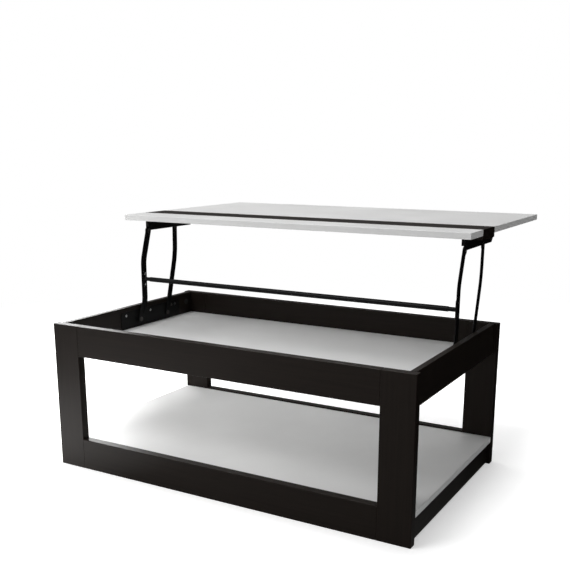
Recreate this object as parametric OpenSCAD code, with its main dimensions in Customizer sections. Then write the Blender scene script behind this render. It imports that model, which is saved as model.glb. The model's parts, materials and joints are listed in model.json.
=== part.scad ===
// Height-adjustable coffee table with a storage compartment and a shelf.
// Millimetres, +Z up, X along the length, front at -Y. Drawn with the top raised.
// The top stays level: on each side two bent arms swing it up and back as a parallelogram.

/* [Base frame] */
// Length of the base, outside the leg posts
base_w = 997; // [800:1:1200]
// Depth of the base, front to back
base_d = 586; // [575:1:700]
// Height of the base, up to the rim of the compartment
base_h = 383; // [340:1:480]
// Thickness of the boards in the front and rear frames
frame_t = 22; // [18:1:26]
// Width of each flat leg post
post_w = 80; // [60:1:110]
// Height of the aprons round the compartment
apron_h = 79; // [76:1:100]
// Height of the front and rear bottom rails
rail_h = 80; // [78:1:110]
// Thickness of the side aprons and side rails
side_t = 15; // [14:1:20]
// How far the side boards stand in from the posts' outer edges
side_inset = 9; // [2:1:20]
// Gap between the side rails and the floor
side_rail_gap = 3; // [1:1:8]
// Radius along the long edges of every board
edge_r = 1; // [0.5:0.1:2]

/* [Panels] */
// Thickness of the shelf
shelf_t = 15; // [12:1:18]
// Height of the shelf's upper face
shelf_top = 76; // [70:1:78]
// How far the shelf's ends stand in from the posts' outer edges
shelf_setback = 1; // [0:0.5:8]
// Thickness of the compartment's floor
floor_t = 15; // [12:1:16]
// How far the compartment's floor lies above the aprons' lower edges
floor_raise = 2; // [0:0.5:4]

/* [Tabletop] */
// How far the tabletop's ends stand out past the posts
end_overhang = 1.5; // [0:0.5:40]
// How far the tabletop's long edges stand out past the base when it is down
long_overhang = 3; // [0:0.5:20]
// Thickness of the two pale boards
board_t = 15; // [14:1:22]
// Distance from the cross beam's front edge back to the middle of the tabletop
beam_lead = 206; // [190:1:225]
// Depth of the dark cross beam between the two pale boards
beam_d = 91; // [70:1:110]
// Thickness of the cross beam
beam_t = 25; // [22:1:34]
// Gap between the beam and the rim when the top is down
close_gap = 0.5; // [0.3:0.1:3]

/* [Lift arms] */
// Distance between the two pivots of each arm
arm_len = 253.6; // [240:0.1:270]
// Angle of the raised arms above the level, in degrees
raised_angle = 79.1; // [74:0.1:86]
// Thickness of the arms
arm_t = 2.5; // [2:0.5:4]
// Width of the front arms
front_arm_w = 22; // [16:0.5:23]
// Width of the rear arms
rear_arm_w = 20; // [14:0.5:21]
// How far the front pivots lie behind the middle of the base
pivot_back = 17; // [10:1:24]
// Drop of the front pivot below the rim
pivot_drop = 40.5; // [38:0.5:44]
// Distance from the front pivots to the rear pivots
pivot_spacing = 129.5; // [122:0.5:140]
// How far the rear pivots lie below the front ones
pivot_step = 2; // [0:0.5:3]
// Radius of the pivot rivets
rivet_r = 4; // [3:0.25:4.5]
// Clearance between neighbouring moving sheets
sheet_gap = 0.3; // [0.2:0.1:0.6]

/* [Lift fittings] */
// Thickness of the base plates
plate_t = 2; // [1.5:0.5:3]
// Thickness of the top brackets
bracket_t = 1.5; // [1.5:0.5:2.5]
// Length of each base plate
plate_len = 267; // [262:1:280]
// Depth of the top brackets under the boards
bracket_h = 32.5; // [30:0.5:38]
// Length of each top bracket
bracket_len = 223; // [215:1:260]
// Width of the brackets' screw tabs
tab_w = 20; // [14:1:26]
// Radius of the cross bar's tube
bar_r = 6.5; // [5.5:0.25:7]
// Wall of the cross bar's tube
bar_wall = 1; // [1:0.25:2]
// Distance from the front pivots to the cross bar
bar_along = 116; // [105:1:125]
// Length of the bare studs at the ends of the cross bar
bar_stud = 19; // [10:1:30]

/* [Hidden] */
$fn = 48;

// Clearances: a fixed fit, a running fit, the loose open pivot, a stop and a notch
snug = 0.05;
running = 0.05;
open_pivot_gap = 0.3;
stop_gap = 0.15;
notch_gap = 0.3;
// How far a cutting shape runs past the face that it cuts
past = 1;

// Heights and places of the boards
apron_z = base_h - apron_h;
floor_top = apron_z + floor_raise + floor_t;
side_mid_x = base_w / 2 - side_inset - side_t / 2;
side_inner_x = base_w / 2 - side_inset - side_t;
rear_frame_y = base_d - frame_t;

// Points and swings of the lift in the side view, as [distance from the front face, height]
pivot_y = base_d / 2 + pivot_back;
front_pivot = [pivot_y, base_h - pivot_drop];
rear_pivot = front_pivot + [pivot_spacing, -pivot_step];
raised_reach = arm_len * [cos(raised_angle), sin(raised_angle)];
top_front_pivot = front_pivot + raised_reach;
top_rear_pivot = rear_pivot + raised_reach;
bracket_pivot_drop = 33;
closed_board_z = base_h + close_gap + beam_t - board_t;
closed_rise = closed_board_z - bracket_pivot_drop - front_pivot[1];
closed_angle = 180 - asin(closed_rise / arm_len);
swing = closed_angle - raised_angle;

// The tabletop: centred over the base when down, carried up and back when raised
top_w = base_w + 2 * end_overhang;
top_d = base_d + 2 * long_overhang;
strip_d = top_d / 2 - beam_lead;
main_d = top_d - strip_d - beam_d;
top_y = arm_len * (cos(raised_angle) - cos(closed_angle)) - long_overhang;
board_z = top_front_pivot[1] + bracket_pivot_drop;
beam_y = top_y + strip_d;
main_y = beam_y + beam_d;
total_d = top_y + top_d;

// Sheets of the right-hand lift, counted inwards from the side apron: each value is the
// inner face of base plate, rear arm, top bracket and front arm
base_plate_x = side_inner_x - plate_t;
rear_arm_x = base_plate_x - sheet_gap - arm_t;
bracket_x = rear_arm_x - sheet_gap - bracket_t;
front_arm_x = bracket_x - sheet_gap - arm_t;
bar_plate_t = 2.5;
bar_plate_x = front_arm_x - bar_plate_t;

// Bends of the arms, measured along and across the line between the two pivots
front_low_bend = [51, -12.2];
front_high_bend = [arm_len - 85.5, 10.3];
rear_bend = [arm_len - 77, -13];
front_line = [[0, 0], front_low_bend, front_high_bend, [arm_len, 0]];
rear_line = [[0, 0], rear_bend, [arm_len, 0]];
front_bend_ease = 16;
rear_bend_ease = 30;
bend_steps = 6;
cap_step = 12;
groove_w = 5;
groove_depth = 0.8;
groove_end = 20;

// The cross bar lies on the straight middle run of the front arms
middle_run = front_high_bend - front_low_bend;
middle_angle = atan2(middle_run[1], middle_run[0]);
bar_local = front_low_bend + middle_run * (bar_along - front_low_bend[0]) / middle_run[0];
bar_point = front_pivot + turned(bar_local, raised_angle);
bar_plate_len = 46;
bar_plate_w = 15;
bar_rivet_pitch = 30;
bar_rivet_r = 2.5;
bar_rivet_head_r = 3.5;
bar_rivet_tail_r = 2.8;
bar_rivet_tail_t = 1;
bar_plate_corner = 3;
stud_in_tube = 15;
bar_half = bar_plate_x - bar_stud;

// Base plate and its screws
plate_lead = 77;
plate_below = 19;
plate_above = 29;
plate_corner = 8;
plate_screw_lift = 17.5;
plate_screw_end = 21.5;
plate_mid_screw = 52;
wood_screw_r = 1.8;
wood_screw_head_r = 3.6;
wood_screw_len = 12;

// Rivets and stop studs
shoulder_r = 5;
head_r = 6.5;
head_t = 1.8;
flush_head_r = 4.6;
rear_top_rivet_r = 3.5;
tail_t = 1.2;
tail_lip = 1;
stop_r = 4;
stop_along = 24;

// Top bracket
bracket_lead = 6;
return_w = 8.8;
return_rise = 11.5;
bracket_chamfer = 12;
front_lobe_r = 10.5;
rear_lobe_r = 8;
tab_margin = 4;
tab_end = 1;
bracket_screw_inset = 14;
bracket_screw_len = 10;

// Dowels and cam fittings
dowel_r = 4;
dowel_len = 30;
dowel_inset = 20;
side_dowel_inset = 15;
side_dowel_in = 11;
panel_dowel_inset = 117.5;
top_dowel_inset = 60;
top_dowel_count = 4;
panel_dowel_depth = 12;
cam_inset = 17;
cam_drop = 27;
cam_r = 7.5;
cam_depth = 12;
cam_back = 24;
cam_bolt_r = 3;
cam_bolt_in = 11;
cam_cap_r = 8.5;
cam_cap_t = 1;

function turned(p, a) = [p[0] * cos(a) - p[1] * sin(a), p[0] * sin(a) + p[1] * cos(a)];
function unit(v) = v / norm(v);

// Everything is drawn from the base's front face, then centred front to back
module placed() { translate([0, -total_d / 2, 0]) children(); }
module both_sides() {
    children();
    mirror([1, 0, 0]) children();
}
module left_hand() { mirror([1, 0, 0]) children(); }

// A rectangle with rounded corners, its low corner at the origin
module soft_rect(w, h, r) {
    translate([r, 0]) square([w - 2 * r, h]);
    translate([0, r]) square([w, h - 2 * r]);
    for (x = [r, w - r], y = [r, h - r]) translate([x, y]) circle(r = r);
}

// Boards whose long edges are rounded, running along X, Y and Z
module board_x(x0, x1, y0, z0, d, h) {
    translate([x0, y0, z0]) rotate([90, 0, 90]) linear_extrude(x1 - x0) soft_rect(d, h, edge_r);
}
module board_y(x0, y0, y1, z0, w, h) {
    translate([x0, y1, z0]) rotate([90, 0, 0]) linear_extrude(y1 - y0) soft_rect(w, h, edge_r);
}
module board_z(x0, y0, z0, z1, w, d) {
    translate([x0, y0, z0]) linear_extrude(z1 - z0) soft_rect(w, d, edge_r);
}

// A sheet seen from the side: drawn as [y, z], lying between x and x + t
module side_sheet(x, t) { translate([x, 0, 0]) rotate([90, 0, 90]) linear_extrude(t) children(); }
module rod_x(x0, x1, point, r) {
    translate([x0, point[0], point[1]]) rotate([0, 90, 0]) cylinder(r = r, h = x1 - x0);
}
module rod_y(y0, y1, x, z, r) { translate([x, y0, z]) rotate([-90, 0, 0]) cylinder(r = r, h = y1 - y0); }

// A strip of constant width with round ends along a line of straight runs. Each bend is a
// parabola that leaves one run and joins the next at a distance, its ease, from the corner;
// every point is kept with its direction, and the outline steps half the width to either side.
function eased(line, ease) = concat(
    [[line[0], unit(line[1] - line[0])]],
    [for (i = [1 : len(line) - 2]) let (u = unit(line[i] - line[i - 1]), v = unit(line[i + 1] - line[i]))
        for (k = [0 : bend_steps]) let (t = k / bend_steps)
            [line[i] + ease * (t * t * v - (1 - t) * (1 - t) * u), unit((1 - t) * u + t * v)]],
    [[line[len(line) - 1], unit(line[len(line) - 1] - line[len(line) - 2])]]);
function left_of(d) = [-d[1], d[0]];
function end_cap(p, d, r) = [for (a = [cap_step : cap_step : 180 - cap_step])
    p + r * (cos(a) * left_of(d) + sin(a) * d)];
function strip_outline(line, w, ease) = let (path = eased(line, ease), n = len(path) - 1, r = w / 2) concat(
    [for (q = path) q[0] + r * left_of(q[1])],
    end_cap(path[n][0], path[n][1], r),
    [for (i = [n : -1 : 0]) path[i][0] - r * left_of(path[i][1])],
    end_cap(path[0][0], -path[0][1], r));

// Dowels across the upright seams of the front and rear frames
frame_dowel_z = [dowel_inset, rail_h - dowel_inset, apron_z + dowel_inset, base_h - dowel_inset];
module frame_dowel_rods(r, length) {
    for (y = [frame_t / 2, base_d - frame_t / 2], z = frame_dowel_z, s = [-1, 1])
        rod_x(s * (base_w / 2 - post_w) - length / 2, s * (base_w / 2 - post_w) + length / 2, [y, z], r);
}
// Dowels that hold the shelf and the compartment floor between the frames
panel_dowel_z = [shelf_top - shelf_t / 2, floor_top - floor_t / 2];
panel_dowel_x = base_w / 2 - post_w - panel_dowel_inset;
panel_dowel_r = 3;
module panel_dowel_rods(r, depth) {
    for (y = [frame_t, rear_frame_y], z = panel_dowel_z, x = [-panel_dowel_x, 0, panel_dowel_x])
        rod_y(y - depth, y + depth, x, z, r);
}

// Dowels at the ends of the side boards; they go deeper into the side boards than the posts
side_rail_top = shelf_top - shelf_t;
side_dowel_z = [side_rail_gap + side_dowel_inset, apron_z + dowel_inset];
module side_dowel_rods(grow) {
    both_sides() for (z = side_dowel_z) {
        rod_y(frame_t - side_dowel_in - grow, frame_t - side_dowel_in + dowel_len + grow,
            side_mid_x, z, dowel_r + grow);
        rod_y(rear_frame_y + side_dowel_in - dowel_len - grow, rear_frame_y + side_dowel_in + grow,
            side_mid_x, z, dowel_r + grow);
    }
}

// Cam fittings pull the side boards against the frames; each cam has a cap on its open face
cam_z = [side_rail_top - cam_inset, base_h - cam_drop];
cam_y = [frame_t + cam_back, rear_frame_y - cam_back];
module cam_solids(grow) {
    both_sides() for (z = cam_z) {
        for (y = cam_y) rod_x(side_inner_x, side_inner_x + cam_depth + grow, [y, z], cam_r + grow);
        rod_y(frame_t - cam_bolt_in - grow, cam_y[0], side_mid_x, z, cam_bolt_r + grow);
        rod_y(cam_y[1], rear_frame_y + cam_bolt_in + grow, side_mid_x, z, cam_bolt_r + grow);
    }
}

// Bores that every board of the base shares with its fittings
module frame_bores() {
    frame_dowel_rods(dowel_r + snug, dowel_len + 2 * snug);
    side_dowel_rods(snug);
    panel_dowel_rods(panel_dowel_r + snug, panel_dowel_depth + snug);
    cam_solids(snug);
}

module post(x0, y0) {
    color("#2b2724") placed() difference() {
        board_z(x0, y0, 0, base_h, post_w, frame_t);
        frame_bores();
    }
}
module front_left_post() { post(-base_w / 2, 0); }
module front_right_post() { post(base_w / 2 - post_w, 0); }
module rear_left_post() { post(-base_w / 2, rear_frame_y); }
module rear_right_post() { post(base_w / 2 - post_w, rear_frame_y); }

// Boards between the posts, flush with their faces
module cross_board(y0, z0, h) {
    color("#2b2724") placed() difference() {
        board_x(post_w - base_w / 2, base_w / 2 - post_w, y0, z0, frame_t, h);
        frame_bores();
    }
}
module front_apron() { cross_board(0, apron_z, apron_h); }
module rear_apron() { cross_board(rear_frame_y, apron_z, apron_h); }
module front_bottom_rail() { cross_board(0, 0, rail_h); }
module rear_bottom_rail() { cross_board(rear_frame_y, 0, rail_h); }

// Right-hand side boards between the two frames
module side_apron() {
    color("#241f1d") placed() difference() {
        board_y(side_inner_x, frame_t, rear_frame_y, apron_z, side_t, apron_h);
        frame_bores();
        plate_screw_rods(wood_screw_r + snug, wood_screw_len + snug);
    }
}
module side_rail() {
    color("#241f1d") placed() difference() {
        board_y(side_inner_x, frame_t, rear_frame_y, side_rail_gap,
            side_t, side_rail_top - side_rail_gap);
        frame_bores();
    }
}
module right_apron() { side_apron(); }
module left_apron() { left_hand() side_apron(); }
module right_bottom_rail() { side_rail(); }
module left_bottom_rail() { left_hand() side_rail(); }

module shelf_panel() {
    color("#e9e9e7") placed() difference() {
        board_y(shelf_setback - base_w / 2, frame_t, rear_frame_y, side_rail_top,
            base_w - 2 * shelf_setback, shelf_t);
        frame_bores();
    }
}
module compartment_floor() {
    color("#e9e9e7") placed() difference() {
        translate([-side_inner_x, frame_t, floor_top - floor_t])
            cube([2 * side_inner_x, rear_frame_y - frame_t, floor_t]);
        panel_dowel_rods(panel_dowel_r + snug, panel_dowel_depth + snug);
    }
}

module frame_dowels() {
    color("#c8a878") placed() {
        frame_dowel_rods(dowel_r, dowel_len);
        side_dowel_rods(0);
    }
}
module panel_dowels() { color("#c8a878") placed() panel_dowel_rods(panel_dowel_r, panel_dowel_depth); }
module cam_fittings() { color("#8c8f93") placed() cam_solids(0); }
module cam_caps() {
    color("#1c1c1e") placed() both_sides() for (y = cam_y, z = cam_z)
        rod_x(side_inner_x - cam_cap_t, side_inner_x, [y, z], cam_cap_r);
}

// Three countersunk screws hold each base plate to its side apron
plate_y = pivot_y - plate_lead;
plate_screw_y = [plate_y + plate_screw_end, pivot_y + plate_mid_screw, plate_y + plate_len - plate_screw_end];
plate_screw_z = front_pivot[1] + plate_screw_lift;
module plate_screw_rods(r, length) {
    for (y = plate_screw_y)
        rod_x(base_plate_x + plate_t, base_plate_x + plate_t + length, [y, plate_screw_z], r);
}
module plate_screw_heads(grow) {
    for (y = plate_screw_y) translate([base_plate_x, y, plate_screw_z]) rotate([0, 90, 0])
        cylinder(r1 = wood_screw_head_r + grow, r2 = wood_screw_r + grow, h = plate_t);
}

module base_plate() {
    color("#1c1c1e") placed() difference() {
        side_sheet(base_plate_x, plate_t) translate([plate_y, front_pivot[1] - plate_below])
            soft_rect(plate_len, plate_below + plate_above, plate_corner);
        for (p = [front_pivot, rear_pivot])
            rod_x(base_plate_x - past, side_inner_x + past, p, rivet_r + snug);
        rod_x(base_plate_x - past, side_inner_x + past, stop_point, stop_r + snug);
        plate_screw_heads(snug);
    }
}
module right_base_plate() { base_plate(); }
module left_base_plate() { left_hand() base_plate(); }

module base_plate_screws() {
    color("#b9bcc0") placed() both_sides() {
        plate_screw_heads(0);
        plate_screw_rods(wood_screw_r, wood_screw_len);
    }
}

// Front rivets carry a shoulder that holds the front arm clear of the other sheets
module front_pivot_rivets() {
    color("#8c8f93") placed() both_sides() {
        rod_x(front_arm_x - running, side_inner_x, front_pivot, rivet_r);
        rod_x(front_arm_x + arm_t + running, base_plate_x, front_pivot, shoulder_r);
        rod_x(front_arm_x - running - head_t, front_arm_x - running, front_pivot, head_r);
    }
}
module rear_pivot_rivets() {
    color("#8c8f93") placed() both_sides() {
        rod_x(rear_arm_x - running, side_inner_x, rear_pivot, rivet_r);
        rod_x(rear_arm_x - running - head_t, rear_arm_x - running, rear_pivot, head_r);
    }
}

// Studs that the rear arms lean on when the top is up
rear_low_run = unit(turned(rear_bend, raised_angle));
stop_point = rear_pivot + stop_along * rear_low_run
    + (rear_arm_w / 2 + stop_r + stop_gap) * [rear_low_run[1], -rear_low_run[0]];
module stop_studs() {
    color("#8c8f93") placed() both_sides() rod_x(rear_arm_x, side_inner_x, stop_point, stop_r);
}

// An arm in its raised place: a bent strip with a pivot hole at each end and a pressed groove
module arm(x, pivot, line, w, ease, low_hole_r, high_hole_r) {
    ends = len(line) - 1;
    groove = concat(
        [line[0] + groove_end * unit(line[1] - line[0])],
        [for (i = [1 : ends - 1]) line[i]],
        [line[ends] + groove_end * unit(line[ends - 1] - line[ends])]);
    difference() {
        side_sheet(x, arm_t) translate(pivot) rotate(raised_angle) polygon(strip_outline(line, w, ease));
        rod_x(x - past, x + arm_t + past, pivot, low_hole_r);
        rod_x(x - past, x + arm_t + past, pivot + turned(line[ends], raised_angle), high_hole_r);
        side_sheet(x - past, past + groove_depth) translate(pivot) rotate(raised_angle)
            polygon(strip_outline(groove, groove_w, ease));
    }
}

module front_arm() {
    color("#1c1c1e") placed() difference() {
        arm(front_arm_x, front_pivot, front_line, front_arm_w, front_bend_ease,
            rivet_r + running, rivet_r + running);
        bar_rivet_rods(front_arm_x - past, front_arm_x + arm_t + past, bar_rivet_r + snug);
    }
}
module right_front_arm() { front_arm(); }
module left_front_arm() { left_hand() front_arm(); }

module rear_arm() {
    color("#1c1c1e") placed()
        arm(rear_arm_x, rear_pivot, rear_line, rear_arm_w, rear_bend_ease,
            rivet_r + running, rear_top_rivet_r + open_pivot_gap);
}
module right_rear_arm() { rear_arm(); }
module left_rear_arm() { left_hand() rear_arm(); }

// The cross bar: a tube on the studs of two brackets riveted to the front arms
module cross_bar() {
    color("#1c1c1e") placed() difference() {
        rod_x(-bar_half, bar_half, bar_point, bar_r);
        rod_x(-bar_half - past, bar_half + past, bar_point, bar_r - bar_wall);
    }
}
bar_rivet_points = [for (s = [-1, 1]) front_pivot
    + turned(bar_local + s * bar_rivet_pitch / 2 * unit(middle_run), raised_angle)];
module bar_rivet_rods(x0, x1, r) { for (p = bar_rivet_points) rod_x(x0, x1, p, r); }
module bar_bracket() {
    color("#1c1c1e") placed() {
        difference() {
            side_sheet(bar_plate_x, bar_plate_t) translate(front_pivot) rotate(raised_angle)
                translate(bar_local) rotate(middle_angle) translate([-bar_plate_len / 2, -bar_plate_w / 2])
                soft_rect(bar_plate_len, bar_plate_w, bar_plate_corner);
            bar_rivet_rods(bar_plate_x - past, bar_plate_x + bar_plate_t + past, bar_rivet_r + snug);
        }
        rod_x(bar_half - stud_in_tube, bar_plate_x, bar_point, bar_r - bar_wall - snug);
    }
}
module right_bar_bracket() { bar_bracket(); }
module left_bar_bracket() { left_hand() bar_bracket(); }
module bar_rivets() {
    color("#b9bcc0") placed() both_sides() {
        bar_rivet_rods(bar_plate_x, front_arm_x + arm_t, bar_rivet_r);
        bar_rivet_rods(bar_plate_x - head_t, bar_plate_x, bar_rivet_head_r);
        bar_rivet_rods(front_arm_x + arm_t, front_arm_x + arm_t + bar_rivet_tail_t, bar_rivet_tail_r);
    }
}

// The tabletop's three boards, dowelled edge to edge with their upper faces level
top_dowel_pitch = (top_w - 2 * top_dowel_inset) / (top_dowel_count - 1);
module top_dowel_rods(r, length) {
    for (y = [beam_y, main_y], i = [0 : top_dowel_count - 1])
        rod_y(y - length / 2, y + length / 2, i * top_dowel_pitch + top_dowel_inset - top_w / 2,
            board_z + board_t / 2, r);
}
module top_board(y0, d, t, tint) {
    color(tint) placed() difference() {
        board_x(-top_w / 2, top_w / 2, y0, board_z + board_t - t, d, t);
        top_dowel_rods(panel_dowel_r + snug, dowel_len + 2 * snug);
        both_sides() bracket_screw_rods(snug);
    }
}
module front_strip() { top_board(top_y, strip_d, board_t, "#ececea"); }
module stripe_beam() { top_board(beam_y, beam_d, beam_t, "#2b2724"); }
module main_board() { top_board(main_y, main_d, board_t, "#ececea"); }
module top_dowels() { color("#c8a878") placed() top_dowel_rods(panel_dowel_r, dowel_len); }

// Top bracket: a web notched round the beam, with tabs under the three boards and a short
// return folded inwards at its front end
web_y = top_front_pivot[0] - bracket_lead;
web_end = web_y + bracket_len;
web_z = board_z - bracket_h;
beam_z = board_z + board_t - beam_t;
tab_spans = [
    [web_y + tab_end, beam_y - tab_margin, board_z],
    [beam_y + tab_margin, main_y - tab_margin, beam_z],
    [main_y + tab_margin, web_end - tab_end, board_z]];
module top_bracket() {
    color("#1c1c1e") placed() difference() {
        union() {
            side_sheet(bracket_x, bracket_t) difference() {
                union() {
                    polygon([[web_y, web_z], [web_end - bracket_chamfer, web_z],
                        [web_end, web_z + bracket_chamfer], [web_end, board_z], [web_y, board_z]]);
                    translate(top_front_pivot) circle(r = front_lobe_r);
                    translate(top_rear_pivot) circle(r = rear_lobe_r);
                }
                translate([beam_y - notch_gap, beam_z]) square([beam_d + 2 * notch_gap, bracket_h]);
                translate(top_front_pivot) circle(r = rivet_r + snug);
            }
            for (s = tab_spans) translate([bracket_x - tab_w, s[0], s[2] - bracket_t])
                cube([tab_w + bracket_t, s[1] - s[0], bracket_t]);
            translate([bracket_x + bracket_t - return_w, web_y, top_front_pivot[1] + return_rise])
                cube([return_w, bracket_t, board_z - top_front_pivot[1] - return_rise]);
        }
        bracket_screw_heads(snug);
        flush_rivet_heads(snug);
    }
}
module right_top_bracket() { top_bracket(); }
module left_top_bracket() { left_hand() top_bracket(); }

// Two screws up through each tab, one through the short front tab
bracket_screws = concat(
    [[(tab_spans[0][0] + tab_spans[0][1]) / 2, board_z]],
    [for (s = [tab_spans[1], tab_spans[2]], y = [s[0] + bracket_screw_inset, s[1] - bracket_screw_inset])
        [y, s[2]]]);
module bracket_screw_heads(grow) {
    for (s = bracket_screws) translate([bracket_x - tab_w / 2, s[0], s[1] - bracket_t])
        cylinder(r1 = wood_screw_head_r + grow, r2 = wood_screw_r + grow, h = bracket_t);
}
module bracket_screw_rods(grow) {
    for (s = bracket_screws) translate([bracket_x - tab_w / 2, s[0], s[1] - grow])
        cylinder(r = wood_screw_r + grow, h = bracket_screw_len + 2 * grow);
}
module top_bracket_screws() {
    color("#b9bcc0") placed() both_sides() {
        bracket_screw_heads(0);
        bracket_screw_rods(0);
    }
}

// Rivets fixed in the top brackets; the arms turn on them
module top_front_rivets() {
    color("#8c8f93") placed() both_sides() {
        rod_x(front_arm_x - running, bracket_x + bracket_t, top_front_pivot, rivet_r);
        rod_x(front_arm_x - running - head_t, front_arm_x - running, top_front_pivot, head_r);
        rod_x(bracket_x + bracket_t, bracket_x + bracket_t + tail_t, top_front_pivot, rivet_r + tail_lip);
    }
}
module flush_rivet_heads(grow) {
    translate([bracket_x, top_rear_pivot[0], top_rear_pivot[1]]) rotate([0, 90, 0])
        cylinder(r1 = flush_head_r + grow, r2 = rear_top_rivet_r + grow, h = bracket_t);
}
module top_rear_rivets() {
    color("#8c8f93") placed() both_sides() {
        rod_x(bracket_x, rear_arm_x + arm_t + running, top_rear_pivot, rear_top_rivet_r);
        flush_rivet_heads(0);
        rod_x(rear_arm_x + arm_t + running, rear_arm_x + arm_t + running + tail_t, top_rear_pivot,
            rear_top_rivet_r + tail_lip);
    }
}

front_left_post();
front_right_post();
rear_left_post();
rear_right_post();
front_apron();
rear_apron();
left_apron();
right_apron();
front_bottom_rail();
rear_bottom_rail();
left_bottom_rail();
right_bottom_rail();
shelf_panel();
compartment_floor();
frame_dowels();
panel_dowels();
cam_fittings();
cam_caps();
left_base_plate();
right_base_plate();
base_plate_screws();
front_pivot_rivets();
rear_pivot_rivets();
stop_studs();
left_front_arm();
right_front_arm();
cross_bar();
left_bar_bracket();
right_bar_bracket();
bar_rivets();
left_rear_arm();
right_rear_arm();
front_strip();
stripe_beam();
main_board();
top_dowels();
left_top_bracket();
right_top_bracket();
top_bracket_screws();
top_front_rivets();
top_rear_rivets();
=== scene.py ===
# %% [markdown]
# A coffee table whose top lifts to the height of a lap desk. Two frames of dark boards hold a
# pale shelf and an open compartment, and four bent steel arms carry the tabletop up and back.
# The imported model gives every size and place; this script dresses it, piece by piece, with
# softened edges, laminate, edge band, powder coat and bright screws.

# %% Load the fixed frame
import json
import math
import bmesh
import bpy
import numpy as np
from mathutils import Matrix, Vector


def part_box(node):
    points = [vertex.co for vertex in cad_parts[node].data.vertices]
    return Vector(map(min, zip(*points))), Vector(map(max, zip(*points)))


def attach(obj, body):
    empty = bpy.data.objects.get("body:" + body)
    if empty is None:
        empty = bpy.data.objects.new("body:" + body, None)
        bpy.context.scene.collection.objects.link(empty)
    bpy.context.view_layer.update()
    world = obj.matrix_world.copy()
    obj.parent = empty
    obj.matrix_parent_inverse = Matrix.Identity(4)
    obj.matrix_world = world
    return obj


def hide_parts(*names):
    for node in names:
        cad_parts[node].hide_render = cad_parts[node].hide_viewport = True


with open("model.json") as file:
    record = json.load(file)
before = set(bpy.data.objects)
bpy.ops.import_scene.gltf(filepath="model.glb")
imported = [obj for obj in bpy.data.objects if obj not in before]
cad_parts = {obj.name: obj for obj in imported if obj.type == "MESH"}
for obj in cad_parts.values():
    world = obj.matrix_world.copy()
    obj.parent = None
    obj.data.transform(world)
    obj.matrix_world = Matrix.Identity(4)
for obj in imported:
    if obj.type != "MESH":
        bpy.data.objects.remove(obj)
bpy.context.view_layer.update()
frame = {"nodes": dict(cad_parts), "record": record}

# %% [markdown]
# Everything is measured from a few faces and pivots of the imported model. Each helper returns
# plain numbers in metres, so a piece that is worked out from them sits where its solid is. The
# joints give the four pivots of the linkage, as [distance to the rear, height] in side view.

# %% Places that the pieces are measured from
MM = 0.001


def span(node, axis):
    """The lowest and highest coordinate of a node along an axis: 0 is X, 1 is Y, 2 is Z."""
    low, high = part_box(node)
    return low[axis], high[axis]


def joint_point(name):
    """Where a joint's axis crosses the side view, as an array of Y and Z."""
    for joint in frame["record"]["behaviour"]["joints"]:
        if joint["name"] == name:
            return np.array(joint["pos_m"][1:])


FRONT_Y = span("front_apron", 1)[0]
FRONT_PIVOT = joint_point("lift")
REAR_PIVOT = joint_point("right_rear_swing")
TOP_FRONT_PIVOT = joint_point("top_levelling")
TOP_REAR_PIVOT = REAR_PIVOT + TOP_FRONT_PIVOT - FRONT_PIVOT
print("front pivot, m:", FRONT_PIVOT.round(4), "and at the top:", TOP_FRONT_PIVOT.round(4))

# %% [markdown]
# The camera stands to the right of the table and looks thirty degrees to the left, a little
# downwards. The lens and the small upward shift come from the photograph: the lines of the
# table meet at points that fix both. The shift keeps the upright edges nearly parallel, as
# they are in the photograph.

# %% Camera
CAMERA_FROM_FRONT = (1.0843, -1.5465, 0.8349)
CAMERA_YAW = 0.5234
CAMERA_DOWN = 0.243
LENS_MM = 53.26
LENS_SHIFT = 0.1175
SENSOR_MM = 36.0
FARTHEST_SEEN = 50.0

lens = bpy.data.cameras.new("camera")
lens.sensor_width = SENSOR_MM
lens.lens = LENS_MM
lens.shift_y = LENS_SHIFT
lens.clip_end = FARTHEST_SEEN
camera = bpy.data.objects.new("camera", lens)
camera.location = (CAMERA_FROM_FRONT[0], FRONT_Y + CAMERA_FROM_FRONT[1], CAMERA_FROM_FRONT[2])
camera.rotation_euler = (math.pi / 2 - CAMERA_DOWN, 0.0, CAMERA_YAW)
bpy.context.scene.collection.objects.link(camera)
bpy.context.scene.camera = camera
bpy.context.scene.view_settings.view_transform = "Standard"
print("camera at", [round(c, 3) for c in camera.location])

# %% [markdown]
# A finish is a small tree of nodes round one principled shader. A few helpers keep the trees
# short: one starts a finish, and one adds noise on Object coordinates, stretched along the
# axes by its own scale, so that the pattern stays on the piece when the table moves. The
# others turn such noise into colour, relief and roughness.

# %% Helpers for finishes
def finish(name, colour, roughness, metallic=0.0, specular=0.5):
    """A new material with one principled shader; returns the material, its nodes and shader."""
    made = bpy.data.materials.new(name)
    made.use_nodes = True
    shader = made.node_tree.nodes["Principled BSDF"]
    shader.inputs["Base Color"].default_value = (*colour, 1.0)
    shader.inputs["Roughness"].default_value = roughness
    shader.inputs["Metallic"].default_value = metallic
    shader.inputs["Specular IOR Level"].default_value = specular
    return made, made.node_tree, shader


def add_noise(tree, scale, detail=3.0, roughness=0.5):
    """Noise on Object coordinates; scale gives the number of cells per metre on each axis."""
    place = tree.nodes.new("ShaderNodeTexCoord")
    mapping = tree.nodes.new("ShaderNodeMapping")
    mapping.inputs["Scale"].default_value = scale
    noise = tree.nodes.new("ShaderNodeTexNoise")
    noise.inputs["Scale"].default_value = 1.0
    noise.inputs["Detail"].default_value = detail
    noise.inputs["Roughness"].default_value = roughness
    tree.links.new(place.outputs["Object"], mapping.inputs["Vector"])
    tree.links.new(mapping.outputs["Vector"], noise.inputs["Vector"])
    return noise.outputs["Fac"]


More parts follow.
